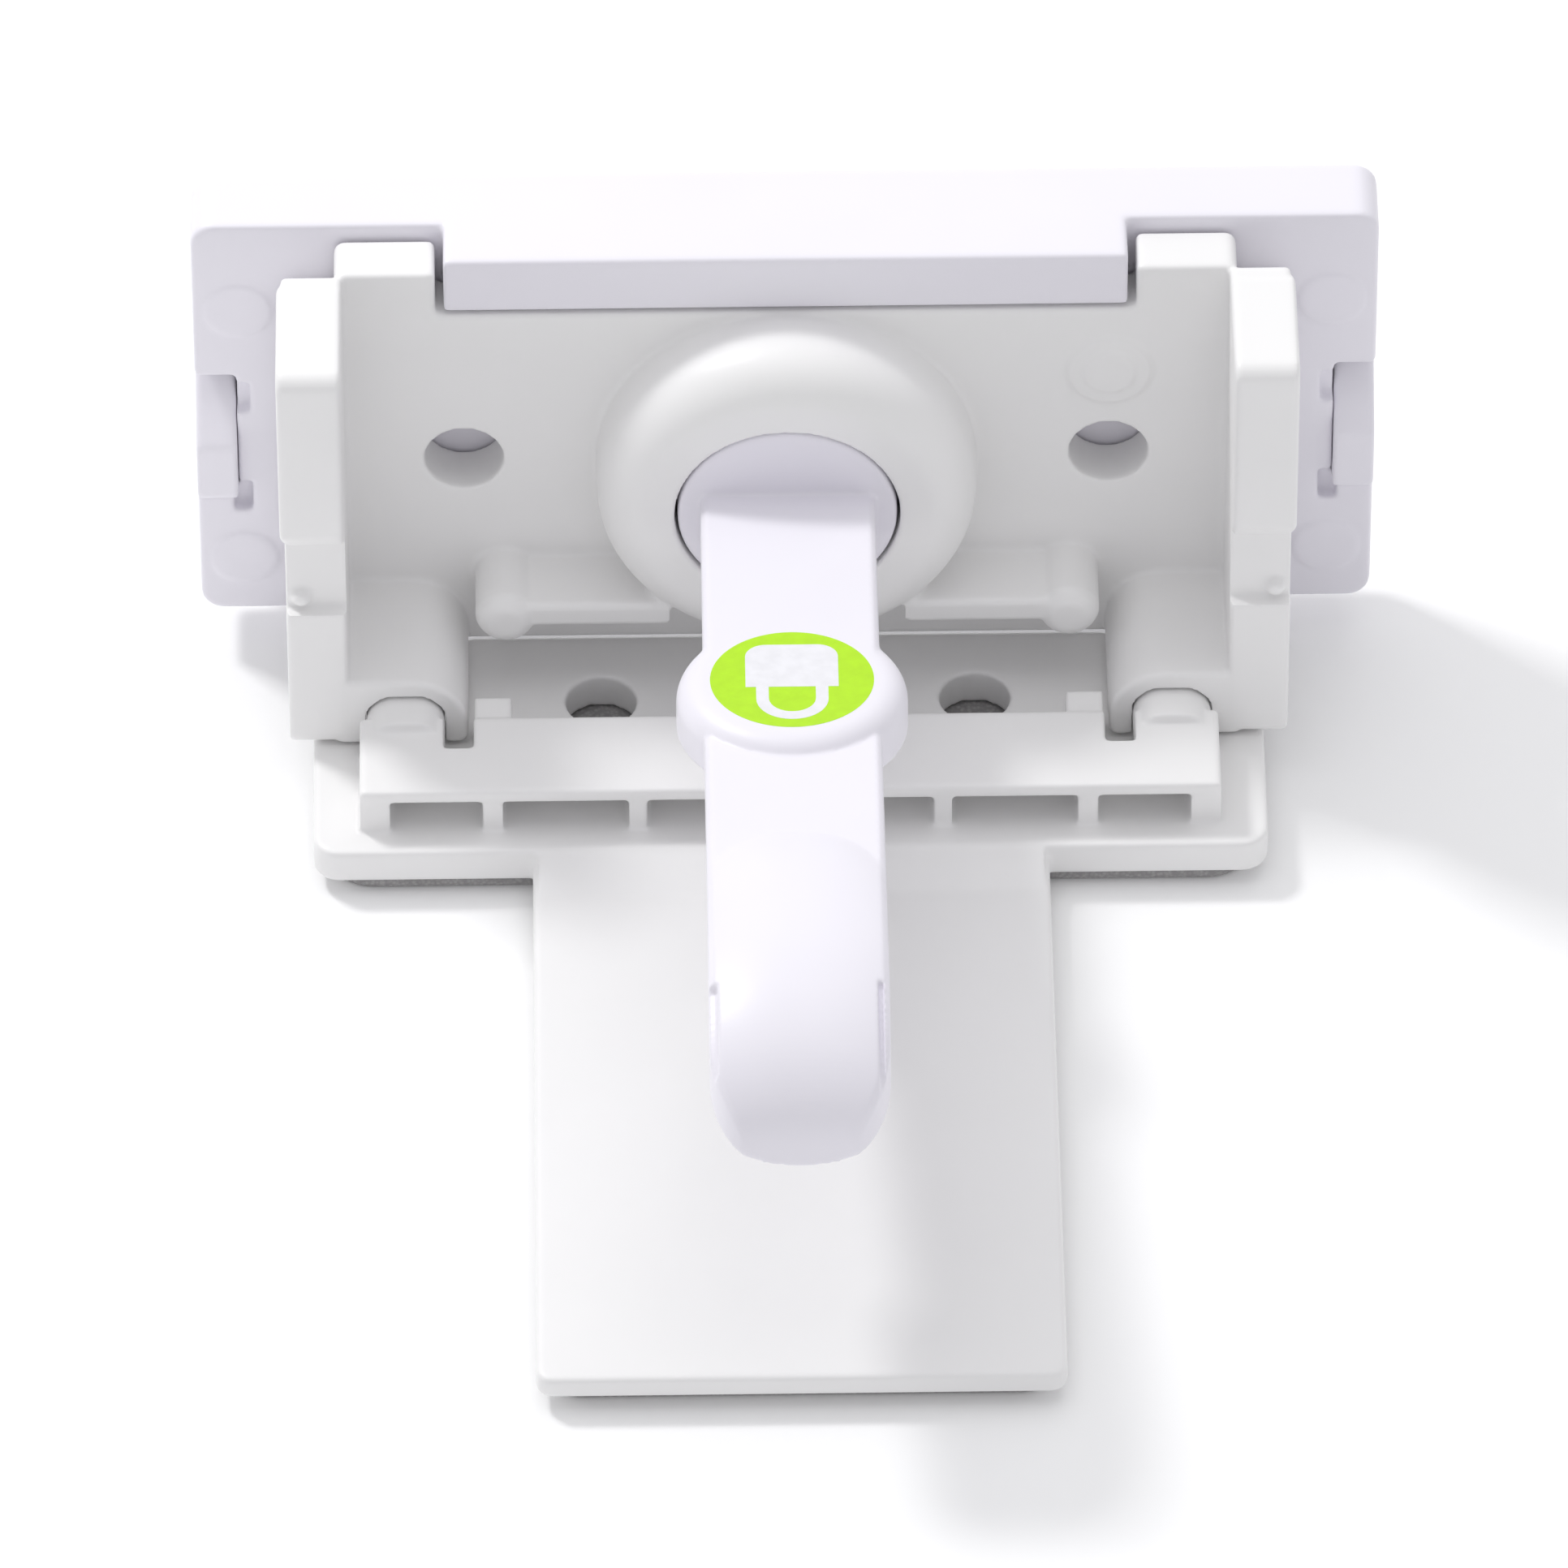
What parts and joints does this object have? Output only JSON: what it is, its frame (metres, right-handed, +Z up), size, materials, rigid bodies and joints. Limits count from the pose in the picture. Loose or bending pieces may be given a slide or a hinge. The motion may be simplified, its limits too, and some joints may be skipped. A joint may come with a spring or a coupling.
{
  "type": "adhesive child safety latch",
  "caption": "Stick-on child safety latch: a flap hinged on a T-shaped door plate, with a quarter-turn lever whose cam holds a catch plate behind it.",
  "frame": {"origin": "on the plane of the door plate's foam, under the middle of the latch's bounding box", "axes": "+X to the right along the hinge, +Y to the back from the lever's tip to the catch, +Z up from the door plate"},
  "size_m": [0.11, 0.1102, 0.0529],
  "materials": {
    "door_plastic": "satin moulded ABS, warm white",
    "flap_plastic": "satin moulded ABS, warm white",
    "lever_plastic": "semi-gloss moulded ABS, cool lavender white",
    "catch_plastic": "semi-gloss moulded ABS, cool lavender white",
    "inner_plastic": "plain moulded acetal",
    "lime_print": "lime green inlay",
    "white_print": "white padlock symbol",
    "foam_tape": "closed-cell foam mounting tape, grey",
    "steel": "plain steel"
  },
  "bodies": {
    "door": {"door_plate": "door_plastic", "crossbar_foam": "foam_tape", "stem_foam": "foam_tape", "hinge_pin_left": "steel", "hinge_pin_right": "steel"},
    "flap": {"flap_frame": "flap_plastic", "detent_spring_upper": "steel", "detent_spring_lower": "steel", "spring_retainer": "inner_plastic", "retainer_screw_left": "steel", "retainer_screw_right": "steel"},
    "lever": {"lever_handle": "lever_plastic", "lime_inlay": "lime_print", "padlock_mark": "white_print", "wave_washer": "steel", "detent_disc": "inner_plastic", "cam_claw": "inner_plastic", "cam_screw": "steel"},
    "catch": {"catch_cover": "catch_plastic", "catch_base": "catch_plastic", "catch_foam": "foam_tape"}
  },
  "joints": [
    {"name": "flap_hinge", "type": "hinge", "parent": "door", "child": "flap", "pos_m": [0, 0.0433, 0.0099], "axis": [-1, 0, 0], "range_deg": [0, 90]},
    {"name": "lever_turn", "type": "hinge", "parent": "flap", "child": "lever", "pos_m": [0, 0.0412, 0.0285], "axis": [0, -1, 0], "range_deg": [0, 90]},
    {"name": "catch_lift", "type": "slide", "parent": "flap", "child": "catch", "axis": [0, 0, 1], "range_m": [0, 0.055]}
  ]
}
